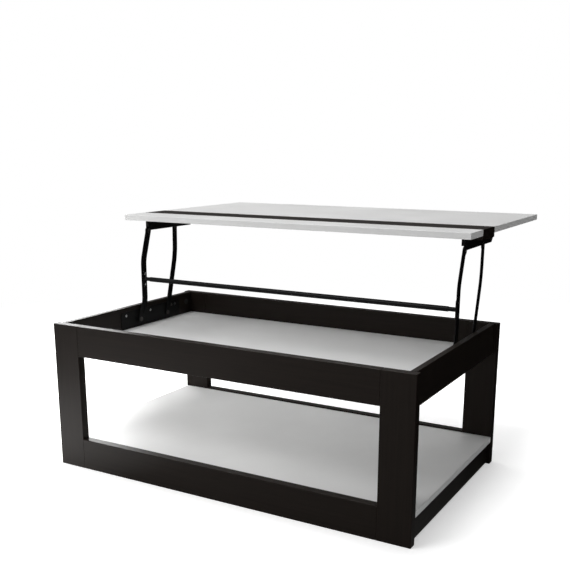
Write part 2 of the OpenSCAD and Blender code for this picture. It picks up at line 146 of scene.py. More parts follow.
def remap(tree, value, low, high, start=0.3, end=0.7):
    """The value between start and end, spread evenly from low to high and held beyond."""
    node = tree.nodes.new("ShaderNodeMapRange")
    node.inputs["From Min"].default_value = start
    node.inputs["From Max"].default_value = end
    node.inputs["To Min"].default_value = low
    node.inputs["To Max"].default_value = high
    tree.links.new(value, node.inputs["Value"])
    return node.outputs["Result"]


def blend_colours(tree, factor, first, second):
    """The first colour where the factor is 0 and the second where it is 1."""
    node = tree.nodes.new("ShaderNodeMix")
    node.data_type = "RGBA"
    node.inputs["A"].default_value = (*first, 1.0)
    node.inputs["B"].default_value = (*second, 1.0)
    tree.links.new(factor, node.inputs["Factor"])
    return node.outputs["Result"]


def add_bump(tree, shader, height, strength, depth):
    """Turn a height between 0 and 1 into a relief of the given depth in metres."""
    node = tree.nodes.new("ShaderNodeBump")
    node.inputs["Strength"].default_value = strength
    node.inputs["Distance"].default_value = depth
    tree.links.new(height, node.inputs["Height"])
    tree.links.new(node.outputs["Normal"], shader.inputs["Normal"])


def vary_roughness(tree, shader, value, spread=0.03):
    """Let a noise value move the roughness by the spread to either side of what is set."""
    socket = shader.inputs["Roughness"]
    level = socket.default_value
    tree.links.new(remap(tree, value, level - spread, level + spread), socket)


print("materials before the finishes:", len(bpy.data.materials))

# %% [markdown]
# The dark boards are chipboard under a black-brown melamine laminate. Its print has a faint
# grain along each board, so there is one finish for each direction: the noise is long along
# the grain and fine across it. The grain moves the colour and the roughness only a little, and
# presses shallow pores into the surface.

# %% Dark laminate and its edge band
LAMINATE_DARK = (0.0128, 0.0098, 0.0080)
LAMINATE_BROWN = (0.0165, 0.0123, 0.0099)
BAND_BROWN = (0.0140, 0.0102, 0.0080)
BLACK_SPECULAR = 0.12
DARK_ROUGHNESS = 0.34
BAND_ROUGHNESS = 0.36
GRAIN_ALONG = 7.0
GRAIN_ACROSS = 260.0
CLOUD_CELLS = (4.0, 4.0, 4.0)
BAND_CELLS = (300.0, 300.0, 300.0)
PORE_DEPTH = 0.2 * MM


def grain_scale(axis):
    """Cells per metre on each axis: few along the grain, many across it."""
    return tuple(GRAIN_ALONG if axis == k else GRAIN_ACROSS for k in range(3))


def dark_laminate(name, axis):
    """Brown laminate with its grain along one axis: the grain blends the two browns and
    presses the pores in, and wide clouds move the roughness."""
    made, tree, shader = finish(name, LAMINATE_DARK, DARK_ROUGHNESS, specular=BLACK_SPECULAR)
    grain = add_noise(tree, grain_scale(axis), detail=4.0, roughness=0.6)
    cloud = add_noise(tree, CLOUD_CELLS, detail=2.0)
    tree.links.new(
        blend_colours(tree, remap(tree, grain, 0.0, 1.0), LAMINATE_DARK, LAMINATE_BROWN),
        shader.inputs["Base Color"])
    vary_roughness(tree, shader, cloud)
    add_bump(tree, shader, grain, 0.12, PORE_DEPTH)
    return made


def dark_edge_band():
    """The thin band on the edges: one brown, whose roughness changes from spot to spot."""
    made, tree, shader = finish(
        "dark_edge_band", BAND_BROWN, BAND_ROUGHNESS, specular=BLACK_SPECULAR)
    vary_roughness(tree, shader, add_noise(tree, BAND_CELLS))
    return made


DARK = [dark_laminate("dark_laminate_" + "xyz"[k], k) for k in range(3)]
dark_band = dark_edge_band()
print("dark finishes:", ", ".join(m.name for m in DARK), "and", dark_band.name)

# %% [markdown]
# The pale boards have a plain white melamine with a very fine orange peel, and the same
# thin edge band in white. The peel is too fine to see from a step away, but it breaks the
# reflections up, which is what makes laminate look like laminate and not like paint.

# %% White laminate and its edge band
WHITE = (0.80, 0.80, 0.795)
WHITE_SHADE = (0.77, 0.77, 0.765)
SHADE_CELLS = (9.0, 9.0, 9.0)
PEEL_CELLS = (900.0, 900.0, 900.0)
PEEL_DEPTH = 0.05 * MM


def white_laminate(name, roughness):
    """White melamine: wide clouds shade it and move its roughness, and a fine peel bumps it."""
    made, tree, shader = finish(name, WHITE, roughness)
    cloud = add_noise(tree, SHADE_CELLS, detail=2.0)
    peel = add_noise(tree, PEEL_CELLS, detail=1.0)
    tree.links.new(
        blend_colours(tree, remap(tree, cloud, 0.0, 1.0), WHITE_SHADE, WHITE),
        shader.inputs["Base Color"])
    vary_roughness(tree, shader, cloud)
    add_bump(tree, shader, peel, 0.10, PEEL_DEPTH)
    return made


white_face = white_laminate("white_laminate", 0.36)
white_band = white_laminate("white_edge_band", 0.42)
print("white finishes:", white_face.name, "and", white_band.name)

# %% [markdown]
# The steel parts are powder coated: a black skin with a fine pebble, a little rougher than the
# laminate. The screws and the bar's rivets are zinc plated and stay bright; the pivots and
# the stops are blackened.

# %% Coated steel, bright steel and the hidden materials
PEBBLE_DEPTH = 0.12 * MM


def pebbled(name, colour, roughness, cells, strength, metallic=0.0, specular=0.5):
    """A finish with a fine pebble, which moves both its roughness and its surface."""
    made, tree, shader = finish(name, colour, roughness, metallic, specular)
    pebble = add_noise(tree, (cells, cells, cells), detail=2.0)
    vary_roughness(tree, shader, pebble, 0.05)
    add_bump(tree, shader, pebble, strength, PEBBLE_DEPTH)
    return made


coated_steel = pebbled(
    "powder_coated_steel", (0.0045, 0.0045, 0.0047), 0.44, 1400.0, 0.30, 0.0, 0.12)
dull_steel = pebbled("blackened_steel", (0.060, 0.056, 0.052), 0.46, 1600.0, 0.25, 0.7)
bright_steel = pebbled("zinc_plated_steel", (0.72, 0.73, 0.74), 0.24, 2200.0, 0.10, 1.0)
cast_zinc = pebbled("cast_zinc", (0.42, 0.43, 0.45), 0.45, 900.0, 0.30, 1.0)
cap_plastic = pebbled("cap_plastic", (0.010, 0.010, 0.010), 0.48, 1100.0, 0.20)


def dowel_beech():
    """Pale beech: a grain that is long along X blends a darker and a lighter brown."""
    made, tree, shader = finish("dowel_beech", (0.55, 0.36, 0.19), 0.6)
    grain = add_noise(tree, (60.0, 400.0, 400.0), detail=3.0)
    tree.links.new(
        blend_colours(tree, grain, (0.45, 0.28, 0.14), (0.66, 0.46, 0.26)),
        shader.inputs["Base Color"])
    add_bump(tree, shader, grain, 0.2, PORE_DEPTH)
    return made


beech = dowel_beech()
print("finishes so far:", len(bpy.data.materials))

# %% [markdown]
# Every surface here is a grid of points worked out at once with numpy. One helper turns such
# a grid into a mesh: rows and columns may close on themselves, points that fall together at
# a pole or a seam are merged, and the piece is told which body it rides on.

# %% From a grid of points to a piece
def grid_faces(rows, columns, wrap_rows=False, wrap_columns=False):
    """Corner numbers of the four-sided faces between neighbouring rows and columns."""
    index = np.arange(rows * columns).reshape(rows, columns)
    if wrap_rows:
        index = np.vstack([index, index[:1]])
    if wrap_columns:
        index = np.hstack([index, index[:, :1]])
    corners = [index[:-1, :-1], index[1:, :-1], index[1:, 1:], index[:-1, 1:]]
    return np.stack(corners, axis=-1).reshape(-1, 4)


def joined(shells):
    """Several closed shells as one: points, four-sided faces and many-sided end faces."""
    starts = np.cumsum([0] + [shell[0].size // 3 for shell in shells])
    points = np.vstack([shell[0].reshape(-1, 3) for shell in shells])
    quads = np.vstack([shell[1] + start for shell, start in zip(shells, starts)])
    ends = [end + start for shell, start in zip(shells, starts) for end in shell[2]]
    return points, quads, ends


def both_hands(shells):
    """The shells of the right side and their mirror images on the left."""
    flip = np.array([-1.0, 1.0, 1.0])
    return list(shells) + [(points * flip, quads, ends) for points, quads, ends in shells]


def make_piece(name, shells, node, body, materials, face_material=None):
    """One piece from closed shells, with outward normals, in the place of a node."""
    points, quads, ends = joined(shells)
    mesh = bpy.data.meshes.new(name)
    mesh.from_pydata(points.tolist(), [], quads.tolist() + [end.tolist() for end in ends])
    for material in materials:
        mesh.materials.append(material)
    if face_material is not None:
        mesh.polygons.foreach_set("material_index", np.asarray(face_material, dtype=np.int32))
    work = bmesh.new()
    work.from_mesh(mesh)
    bmesh.ops.remove_doubles(work, verts=work.verts, dist=1e-7)
    bmesh.ops.recalc_face_normals(work, faces=work.faces)
    work.to_mesh(mesh)
    work.free()
    mesh.shade_smooth()
    piece = bpy.data.objects.new(name, mesh)
    bpy.context.scene.collection.objects.link(piece)
    normals = piece.modifiers.new("flat_faces_stay_flat", "WEIGHTED_NORMAL")
    normals.weight = 100
    normals.keep_sharp = False
    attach(piece, body)
    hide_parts(node)
    return piece


print("faces on a grid of 3 by 3 points:", len(grid_faces(3, 3)))

# %% [markdown]
# A board is a box whose twelve edges are softened to the radius of the edge band, about a
# millimetre. It starts as the six faces of a box, each a grid with extra lines near its
# borders; every point is then pulled to the radius round the inner box. The lines lie at
# equal angles of the rounding, so the curve is even.

# %% Boards with softened edges
EDGE_RADIUS = 1.0 * MM
ARC_STEPS = 3
RIM = 3


def edge_lines(half, radius):
    """Grid lines across one face: the arcs' lines at equal angles, and the flat between."""
    arc = radius * np.tan(np.linspace(math.pi / 4, 0.0, ARC_STEPS + 1))
    return np.concatenate([-(half - radius) - arc, (half - radius) + arc[::-1]])


def box_face(half, axis, side, radius):
    """One face of a softened box: points on the face, moved onto the radius round the
    inner box, which is the box drawn in by the radius on all sides."""
    first, second = [k for k in range(3) if k != axis]
    u, v = np.meshgrid(
        edge_lines(half[first], radius), edge_lines(half[second], radius), indexing="ij")
    points = np.zeros(u.shape + (3,))
    points[..., first] = u
    points[..., second] = v
    points[..., axis] = side * half[axis]
    inner = np.clip(points, -(half - radius), half - radius)
    away = points - inner
    return inner + radius * away / np.linalg.norm(away, axis=-1, keepdims=True)


def softened_box(low, high, radius):
    """The shell of a box with soft edges, and for each face the axis that it looks along, or
    RIM where it belongs to a rounding."""
    low = np.array(low)
    high = np.array(high)
    shells = []
    looks = []
    for axis in range(3):
        for side in (-1.0, 1.0):
            grid = box_face((high - low) / 2, axis, side, radius) + (low + high) / 2
            shells.append((grid, grid_faces(*grid.shape[:2]), []))
            look = np.full([n - 1 for n in grid.shape[:2]], RIM)
            look[ARC_STEPS:-ARC_STEPS, ARC_STEPS:-ARC_STEPS] = axis
            looks.append(look.ravel())
    return joined(shells), np.concatenate(looks)


def softened_board(node, body, thin_axis, face_finish, band_finish):
    """A board in the place of a node: laminate on its two large faces, band on the others."""
    shell, looks = softened_box(*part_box(node), EDGE_RADIUS)
    return make_piece(
        node + "_board", [shell], node, body, [face_finish, band_finish], looks != thin_axis)


print("edge radius of the boards, mm:", EDGE_RADIUS / MM)

# %% [markdown]
# The base: four flat posts with upright grain, and boards between them with the grain along
# their length. A fine gap stays at every seam, because each board keeps its own rounding.

# %% Posts, aprons and rails
for post in ("front_left_post", "front_right_post", "rear_left_post", "rear_right_post"):
    softened_board(post, "base", 1, DARK[2], dark_band)
for board in ("front_apron", "rear_apron", "front_bottom_rail", "rear_bottom_rail"):
    softened_board(board, "base", 1, DARK[0], dark_band)
for board in ("left_apron", "right_apron", "left_bottom_rail", "right_bottom_rail"):
    softened_board(board, "base", 0, DARK[1], dark_band)
print("dark boards in the base: 12")

# %% [markdown]
# The shelf and the compartment's floor are pale boards that lie flat between the two frames.
# Mostly their upper faces show, and the same soft-edged box serves them, with a white band.

# %% Shelf and compartment floor
for panel in ("shelf_panel", "compartment_floor"):
    board = softened_board(panel, "base", 2, white_face, white_band)
    print(board.name, "rides on the base")

# %% [markdown]
# The tabletop is three boards: a narrow and a wide white one, and between them a thicker dark
# beam whose upper face is level with them, so from above it reads as a stripe.

# %% Tabletop
for board in ("front_strip", "main_board"):
    softened_board(board, "tabletop", 2, white_face, white_band)
softened_board("stripe_beam", "tabletop", 2, DARK[0], dark_band)
print("boards in the tabletop: 3")

# %% [markdown]
# The arms are pressed from 2.5 mm strip: each follows straight runs with eased bends, has round
# ends, and a groove pressed along its inner face for stiffness. The shape is a function of the
# distance along the strip and of a place on its cross-section. At either end the half-width
# follows a circle, so the strip closes on itself.

# %% Line of an arm
BEND_SAMPLES = 13


def unit(v):
    """A vector of length one: the vector divided by its length."""
    return v / np.linalg.norm(v)


def eased_path(line, ease, overrun, step=3.0 * MM):
    """Points along straight runs joined by parabolas, run on past both ends, with the
    direction at each point: on a bend, which starts and stops the given ease away from its
    corner, the direction turns evenly from one run to the next."""
    line = np.array(line)
    runs = [unit(line[i + 1] - line[i]) for i in range(len(line) - 1)]
    points = []
    directions = []
    start = line[0] - overrun * runs[0]
    for i, run in enumerate(runs):
        last = i == len(runs) - 1
        end = line[i + 1] + overrun * run if last else line[i + 1] - ease * run
        count = max(2, int(np.linalg.norm(end - start) / step))
        t = np.linspace(0.0, 1.0, count)[:, None]
        points.append(start + t * (end - start))
        directions.append(np.repeat(run[None, :], count, axis=0))
        if not last:
            s = np.linspace(0.0, 1.0, BEND_SAMPLES)[1:-1, None]
            turned = (1 - s) * run + s * runs[i + 1]
            points.append(line[i + 1] + ease * (s * s * runs[i + 1] - (1 - s) ** 2 * run))
            directions.append(turned / np.linalg.norm(turned, axis=1, keepdims=True))
            start = line[i + 1] + ease * runs[i + 1]
    return np.vstack(points), np.vstack(directions)


def with_round_ends(points, directions, radius, samples=12):
    """Add points that crowd towards both tips, where the width closes as a circle: the
    half-width squared is the radius squared less the square of the way to its centre."""
    travelled = np.concatenate([[0], np.cumsum(np.linalg.norm(np.diff(points, axis=0), axis=1))])
    total = travelled[-1]
    tip = radius * (1 - np.cos(np.linspace(0.0, math.pi / 2, samples)))
    body = travelled[(travelled > radius) & (travelled < total - radius)]
    places = np.concatenate([tip, body, (total - tip)[::-1]])
    lay = np.stack([np.interp(places, travelled, points[:, k]) for k in range(2)], axis=1)
    aim = np.stack([np.interp(places, travelled, directions[:, k]) for k in range(2)], axis=1)
    aim /= np.linalg.norm(aim, axis=1, keepdims=True)
    from_tip = np.minimum(places, total - places)
    half_width = np.sqrt(np.maximum(radius ** 2 - np.maximum(radius - from_tip, 0.0) ** 2, 0.0))
    return lay, aim, half_width, from_tip


print("points on each bend:", BEND_SAMPLES)

# %% [markdown]
# The skin of an arm is one closed sheet of points: every row runs once round the strip's
# cross-section. A bevel on a flat strip would round the edges as well, but it could not press
# the groove, and the groove is what catches the light along the arm.

# %% Surface of an arm
GROOVE_WIDTH = 5.0 * MM
GROOVE_DEPTH = 0.8 * MM
GROOVE_SHOULDER = 0.7 * MM
GROOVE_FROM_TIP = 27.0 * MM
GROOVE_FADE = 4.0 * MM
ARM_EDGE = 0.5 * MM


def smooth_step(x):
    """0 below 0, 1 above 1, and an even curve between."""
    x = np.clip(x, 0.0, 1.0)
    return x * x * (3.0 - 2.0 * x)


def across_groove(half_width):
    """Places across the grooved face from one edge to the other, close together where the
    groove's shoulders are."""
    g = GROOVE_WIDTH / 2
    s = GROOVE_SHOULDER
    half = np.array([half_width, g + 2 * s, g + s, g + s / 2, g, g - s / 2, g - s, 0.0])
    return np.concatenate([half, -half[-2::-1]])


def pressed_strip(name, node, body, pivot, line, width, ease, sign):
    """A pressed strip arm. Each row lies across the strip: the grooved face, an arc of the
    edge radius, the plain face and the arc back. The groove dips the first face by its depth
    where the place is inside its width, and fades out before the pivots."""
    low, high = span(node, 0)
    radius = width / 2
    path, directions = eased_path(line, ease, radius)
    lay, aim, half_width, from_tip = with_round_ends(path, directions, radius)
    edge = np.minimum(ARM_EDGE, half_width)[:, None]
    inner_half = half_width[:, None] - edge
    face = np.clip(across_groove(radius)[None, :], -inner_half, inner_half)
    fade = smooth_step((from_tip - GROOVE_FROM_TIP) / GROOVE_FADE)[:, None]
    shoulder = (GROOVE_WIDTH / 2 + GROOVE_SHOULDER / 2 - np.abs(face)) / GROOVE_SHOULDER
    dip = GROOVE_DEPTH * smooth_step(shoulder) * fade
    quarter = np.linspace(0.0, math.pi / 2, 4)[None, :]
    half_t = (high - low) / 2
    out = inner_half + edge * np.sin(quarter)
    rise = -half_t + edge * (1 - np.cos(quarter))
    plain = face[:, -2:0:-1]
    across = np.hstack([face, -out[:, 1:], -out[:, ::-1], plain, out, out[:, ::-1]])
    through = np.hstack([
        -half_t + dip, rise[:, 1:], -rise[:, ::-1],
        np.full_like(plain, half_t), -rise, rise[:, ::-1]])
    aside = np.stack([-aim[:, 1], aim[:, 0]], axis=1)
    side_view = pivot[None, None, :] + lay[:, None, :] + across[..., None] * aside[:, None, :]
    x = (low + high) / 2 + sign * through
    points = np.concatenate([x[..., None], side_view], axis=-1)
    shell = (points, grid_faces(*points.shape[:2], wrap_columns=True), [])
    return make_piece(name, [shell], node, body, [coated_steel])


print("groove, mm wide and deep:", GROOVE_WIDTH / MM, GROOVE_DEPTH / MM)

# %% [markdown]
# The bends are measured along and across the line between an arm's two pivots, so they are
# turned by the angle of that line. The front arms bend twice, the rear ones once, in a wider
# curve. The lowest bend counts from the lower pivot, the others from the upper one.

# %% Four arms
FRONT_ARM_WIDTH = 22.0 * MM
REAR_ARM_WIDTH = 20.0 * MM
FRONT_EASE = 16.0 * MM
REAR_EASE = 30.0 * MM
LOW_BEND = (51.0, -12.2)
HIGH_BEND = (85.5, 10.3)
REAR_BEND = (77.0, -13.0)
REACH = TOP_FRONT_PIVOT - FRONT_PIVOT
ARM_LENGTH = float(np.linalg.norm(REACH))
ALONG = REACH / ARM_LENGTH
ASIDE = np.array([-ALONG[1], ALONG[0]])


def along_arm(points_mm):
    """Points given along and across the pivots' line, in mm, turned into the side view."""
    return [p[0] * MM * ALONG + p[1] * MM * ASIDE for p in points_mm]


FULL = ARM_LENGTH / MM
FRONT_LINE = along_arm([(0, 0), LOW_BEND, (FULL - HIGH_BEND[0], HIGH_BEND[1]), (FULL, 0)])
REAR_LINE = along_arm([(0, 0), (FULL - REAR_BEND[0], REAR_BEND[1]), (FULL, 0)])
for side, sign in (("right", 1.0), ("left", -1.0)):
    pressed_strip(side + "_front_arm_strip", side + "_front_arm", "front_arms", FRONT_PIVOT,
                  FRONT_LINE, FRONT_ARM_WIDTH, FRONT_EASE, sign)
    pressed_strip(side + "_rear_arm_strip", side + "_rear_arm", side + "_rear_arm", REAR_PIVOT,
                  REAR_LINE, REAR_ARM_WIDTH, REAR_EASE, sign)
print("arm length between pivots, mm:", round(FULL, 1))

# %% [markdown]
# Flat steel parts are stamped: an outline carried through the thickness of the sheet, with a
# small rounding where the tool has pulled the edge in. The same outline can be an arc, a
# rounded rectangle, or the notched web of a bracket with round lobes for its rivets.

# %% Stamped sheets
STAMPED_EDGE = 0.35 * MM


def arc(centre, radius, start, end, count=13):
    """Points on a circle from one angle to another, in degrees."""
    turn = np.radians(np.linspace(start, end, count))
    return np.array(centre) + radius * np.stack([np.cos(turn), np.sin(turn)], axis=1)


def rounded_outline(centre, size, corner, direction=(1.0, 0.0)):
    """A rectangle with round corners, its length along the given direction."""
    half = np.array(size) / 2 - corner
    sides = ((1, 1, 0), (-1, 1, 90), (-1, -1, 180), (1, -1, 270))
    flat = np.vstack([arc((a * half[0], b * half[1]), corner, t, t + 90) for a, b, t in sides])
    along = np.array(direction)
    aside = np.array([-along[1], along[0]])
    return np.array(centre) + flat[:, :1] * along + flat[:, 1:] * aside


def stamped(outline, low, high, edge=STAMPED_EDGE):
    """A plate between two places along X from an outline in side view, which runs
    counter-clockwise. Each ring is the outline drawn in along the bisector of its corner by
    edge * (1 - sin a), and stands edge * (1 - cos a) from the face, for a from 0 to 90
    degrees; two many-sided faces close it."""
    ahead = np.roll(outline, -1, axis=0) - outline
    ahead = ahead / np.linalg.norm(ahead, axis=1, keepdims=True)
    out_next = np.stack([ahead[:, 1], -ahead[:, 0]], axis=1)
    out_last = np.roll(out_next, 1, axis=0)
    between = 1.0 + np.sum(out_next * out_last, axis=1, keepdims=True)
    bisector = (out_next + out_last) / between
    a = np.linspace(0.0, math.pi / 2, 4)
    drawn = np.concatenate([edge * (1 - np.sin(a)), edge * (1 - np.sin(a[::-1]))])
    stand = edge * (1 - np.cos(a))
    place = np.concatenate([low + stand, high - stand[::-1]])
    points = np.empty((len(place), len(outline), 3))
    points[..., 0] = place[:, None]
    points[..., 1:] = outline - drawn[:, None, None] * bisector
    first = np.arange(len(outline))
    last = first + (len(place) - 1) * len(outline)
    return points, grid_faces(*points.shape[:2], wrap_columns=True), [first, last]


print("points on a quarter of a circle:", len(arc((0.0, 0.0), 1.0, 0, 90)))

# %% [markdown]
# Rivets, studs and the cross bar are turned: a profile of places and radii goes round an axis.
# A rivet head is a low dome on a straight rim, with the small dent that the riveting tool
# leaves in its middle. A screw is the same idea with a radius that also depends on the angle:
# the head sinks where the cross recess is, and the thread rises along a helix.

# %% Turned parts
def turned(place, radius, centre, axis=0, wrap_rows=False, around=32):
    """Points at each place along the axis and each radius from it; either may be one value
    for each row, or a whole grid of rows and angles."""
    turn = np.linspace(0.0, 2 * math.pi, around, endpoint=False)
    place = np.broadcast_to(np.reshape(place, (len(place), -1)), (len(place), around))
    radius = np.broadcast_to(np.reshape(radius, (len(place), -1)), place.shape)
    first, second = [k for k in range(3) if k != axis]
    points = np.empty(place.shape + (3,))
    points[..., axis] = place
    points[..., first] = centre[0] + radius * np.cos(turn)
    points[..., second] = centre[1] + radius * np.sin(turn)
    return points, grid_faces(*place.shape, wrap_rows=wrap_rows, wrap_columns=True), []


def domed(face, radius, height, way):
    """Rows of a rivet head from its middle to its rim on a face: the height falls as a
    quarter of a circle from the middle to a third at the rim, less the dent."""
    r = radius * np.sin(np.linspace(0.0, math.pi / 2, 10))
    rise = height * (0.35 + 0.65 * np.sqrt(np.maximum(1 - (r / radius) ** 2, 0.0)))
    dent = 0.3 * height * np.exp(-(r / (0.22 * radius)) ** 2)
    rows = np.stack([face + way * (rise - dent), r], axis=1)
    return np.vstack([rows, [[face, radius]]])


def rivet(centre, head, middle, tail):
    """A rivet along X: a domed head towards the middle of the table, plain steps of
    [place, radius], and a domed tail. Head and tail are (face, radius, height)."""
    rows = np.vstack([domed(*head, -1.0), middle, domed(*tail, 1.0)[::-1]])
    return turned(rows[:, 0], rows[:, 1], centre)


print("rows of a domed head:", len(domed(0.0, 1.0, 0.3, 1.0)))

# %% [markdown]
# The screws are the only bright specks on the dark plates, so they get a real cross recess.
# Cutting one with a boolean leaves ragged triangles; here the head is a grid of rings, and
# each ring simply sinks where it crosses one of the two slots.

# %% Screws
SCREW_HEAD = 3.6 * MM
SCREW_BODY = 1.8 * MM
SCREW_CROWN = 0.12 * MM
RECESS_HALF = (2.0 * MM, 0.42 * MM)
RECESS_DEPTH = 1.1 * MM
RECESS_BLEND = (0.5 * MM, 0.25 * MM)
THREAD_PITCH = 1.7 * MM
THREAD_POINT = 2.0 * MM


def cross_recess(r, turn):
    """1 inside the cross on a screw head and 0 outside: a point is inside when the smaller of
    its two distances is under the half-width and the larger is under the half-length."""
    u = np.abs(r * np.cos(turn))
    v = np.abs(r * np.sin(turn))
    wide = smooth_step((RECESS_HALF[1] - np.minimum(u, v)) / RECESS_BLEND[1] + 0.5)
    long = smooth_step((RECESS_HALF[0] - np.maximum(u, v)) / RECESS_BLEND[0] + 0.5)
    return wide * long


def wood_screw(centre, axis, face, way, sink, length):
    """A countersunk screw whose head looks towards way. Its body narrows over the sink and
    then carries a thread: the radius falls by a fifth between the turns of a helix."""
    around = 48
    turn = np.linspace(0.0, 2 * math.pi, around, endpoint=False)[None, :]
    r = SCREW_HEAD * np.linspace(0.0, 1.0, 15)[:, None] + 0.0 * turn
    crown = SCREW_CROWN * (1 - (r / SCREW_HEAD) ** 2)
    head = face + way * (crown - RECESS_DEPTH * cross_recess(r, turn))
    deep = np.linspace(0.0, length, 33)[:, None] + 0.0 * turn
    helix = np.abs(2 * np.mod(deep / THREAD_PITCH + turn / (2 * math.pi), 1.0) - 1)
    cone = SCREW_HEAD + (SCREW_BODY - SCREW_HEAD) * np.clip(deep / sink, 0.0, 1.0)
    thread = SCREW_BODY * (0.8 + 0.2 * helix) * np.clip((length - deep) / THREAD_POINT, 0.0, 1.0)
    body = np.where(deep <= sink, cone, thread)
    return turned(
        np.vstack([head, face - way * deep]), np.vstack([r, body]), centre, axis, around=around)


print("screw head, mm across:", 2 * SCREW_HEAD / MM)

# %% [markdown]
# The sheets of each lift lie side by side: base plate, rear arm, top bracket, front arm and the
# plate of the cross bar, with a fine gap between those that move. Their faces along X come from the
# solids, and so does the outline of the base plate.

# %% Base plates
PLATE_IN, PLATE_OUT = span("right_base_plate", 0)
PLATE_Y = span("right_base_plate", 1)
PLATE_Z = span("right_base_plate", 2)
PLATE_CORNER = 8.0 * MM
PLATE_SCREW_INSET = 21.5 * MM
PLATE_SCREW_MIDDLE = 52.0 * MM
PLATE_SCREW_UP = 17.5 * MM
PLATE_SCREW_SINK = 2.0 * MM
PLATE_SCREW_LENGTH = 13.8 * MM
middle = ((PLATE_Y[0] + PLATE_Y[1]) / 2, (PLATE_Z[0] + PLATE_Z[1]) / 2)
size = (PLATE_Y[1] - PLATE_Y[0], PLATE_Z[1] - PLATE_Z[0])
plate = stamped(rounded_outline(middle, size, PLATE_CORNER), PLATE_IN, PLATE_OUT)
for side, sheet in zip(("right", "left"), both_hands([plate])):
    make_piece(side + "_base_plate_sheet", [sheet], side + "_base_plate", "base", [coated_steel])
screw_y = (PLATE_Y[0] + PLATE_SCREW_INSET, FRONT_PIVOT[0] + PLATE_SCREW_MIDDLE,
           PLATE_Y[1] - PLATE_SCREW_INSET)
plate_screws = [
    wood_screw((y, FRONT_PIVOT[1] + PLATE_SCREW_UP), 0, PLATE_IN, -1.0, PLATE_SCREW_SINK,
               PLATE_SCREW_LENGTH)
    for y in screw_y]
make_piece("plate_screws", both_hands(plate_screws), "base_plate_screws", "base", [bright_steel])
print("base plate, mm:", [round(s / MM, 1) for s in size])

# %% [markdown]
# Each arm turns on a rivet through its lower hole. The front one needs a shoulder, because the
# front arm stands clear of the plate by the thickness of what folds in between. A short stud
# in the plate stops the rear arm when the top is up.

# %% Pivots and stops
ARM_IN, ARM_OUT = span("right_front_arm", 0)
REAR_IN, REAR_OUT = span("right_rear_arm", 0)
WEB_OUT = span("right_top_bracket", 0)[1]
WEB_THICK = 1.5 * MM
WEB_IN = WEB_OUT - WEB_THICK
RUNNING = 0.05 * MM
SHANK = 4.0 * MM
SHOULDER = 5.0 * MM
HEAD = (6.5 * MM, 1.8 * MM)


def flat_end(place, radius, way, soften=0.4 * MM):
    """Rows that close a turned part with a flat end and a softened rim."""
    rows = [[place, 0.0], [place, radius - soften], [place - way * soften, radius]]
    return np.array(rows)


def turned_rows(rows, centre):
    """Groups of [place, radius] rows, stacked into one profile and turned round a centre."""
    rows = np.vstack(rows)
    return turned(rows[:, 0], rows[:, 1], centre)


front_rivet = turned_rows([
    domed(ARM_IN - RUNNING, *HEAD, -1.0), [[ARM_IN - RUNNING, SHANK]],
    [[ARM_OUT + RUNNING, SHANK], [ARM_OUT + RUNNING, SHOULDER], [PLATE_IN, SHOULDER]],
    [[PLATE_IN, SHANK], [PLATE_OUT, SHANK], [PLATE_OUT, 0.0]]], FRONT_PIVOT)
rear_rivet = turned_rows([
    domed(REAR_IN - RUNNING, *HEAD, -1.0), [[REAR_IN - RUNNING, SHANK]],
    [[PLATE_OUT, SHANK], [PLATE_OUT, 0.0]]], REAR_PIVOT)
stop_low, stop_high = (np.array(corner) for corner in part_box("stop_studs"))
STOP_RADIUS = (stop_high[2] - stop_low[2]) / 2
stop = turned_rows([
    flat_end(REAR_IN, STOP_RADIUS, -1.0), [[PLATE_OUT, STOP_RADIUS], [PLATE_OUT, 0.0]]],
    (stop_low[1:] + stop_high[1:]) / 2)
make_piece("front_rivets", both_hands([front_rivet]), "front_pivot_rivets", "base", [dull_steel])
make_piece("rear_rivets", both_hands([rear_rivet]), "rear_pivot_rivets", "base", [dull_steel])
make_piece("stops", both_hands([stop]), "stop_studs", "base", [dull_steel])
print("stop stud, mm across:", round(2 * STOP_RADIUS / MM, 1))

# %% [markdown]
# The cross bar is a thin tube. At each end it sits on a stud that is welded to a small plate,
# and two rivets hold that plate to the front arm.

# %% Cross bar and its brackets
bar_low, bar_high = (np.array(corner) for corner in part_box("cross_bar"))
BAR = (bar_low[1:] + bar_high[1:]) / 2
BAR_RADIUS = (bar_high[2] - bar_low[2]) / 2
BAR_WALL = 1.0 * MM
BAR_END = bar_high[0]
BAR_SOFT = 0.3 * MM
STUD_GAP = 0.05 * MM
STUD_RADIUS = BAR_RADIUS - BAR_WALL - STUD_GAP
STUD_IN_TUBE = 15.0 * MM
WELD = 1.6 * MM
BAR_PLATE = (46.0 * MM, 15.0 * MM)
BAR_PLATE_CORNER = 3.0 * MM
BAR_PLATE_THICK = 2.5 * MM
BAR_PLATE_IN = ARM_IN - BAR_PLATE_THICK
BAR_RIVET_AWAY = 15.0 * MM
BAR_RIVET_SHANK = 2.5 * MM
BAR_RIVET_HEAD = (3.5 * MM, 1.8 * MM)
BAR_RIVET_TAIL = (2.8 * MM, 1.0 * MM)
BAR_RUN = unit(FRONT_LINE[2] - FRONT_LINE[1])

